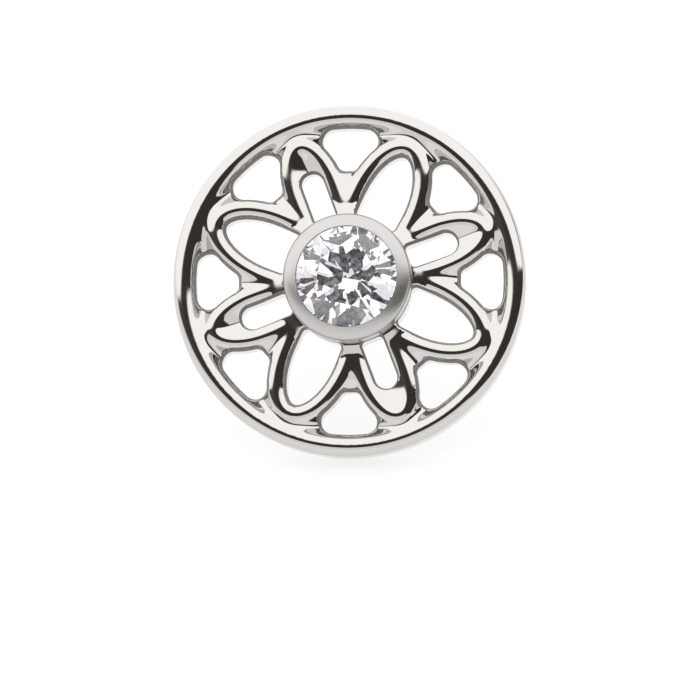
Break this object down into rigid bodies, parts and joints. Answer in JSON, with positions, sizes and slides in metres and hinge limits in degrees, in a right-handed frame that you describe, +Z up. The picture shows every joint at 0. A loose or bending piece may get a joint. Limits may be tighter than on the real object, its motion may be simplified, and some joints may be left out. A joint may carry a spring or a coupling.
{
  "type": "threadless piercing top",
  "caption": "Round pierced flower disc with a domed rim and petals, a bezel-set round stone at its centre and a straight push pin at its back.",
  "frame": {"origin": "on the floor under the middle of the part, which rests on its rim and on its pin's tip", "axes": "+Z up, +X to the right as seen from the front, -Y towards the viewer; the face looks up and towards -Y, and the pin runs down and towards +Y"},
  "size_m": [0.01, 0.0082, 0.008],
  "materials": {
    "polished_metal": "mirror polished white metal",
    "cup_metal": "soft satin polish",
    "clear_stone": "clear faceted stone",
    "pin_metal": "drawn wire, lightly polished"
  },
  "bodies": {
    "root": {"flower_disc": "polished_metal", "bezel_cup": "cup_metal", "stone": "clear_stone", "push_pin": "pin_metal"}
  },
  "joints": []
}
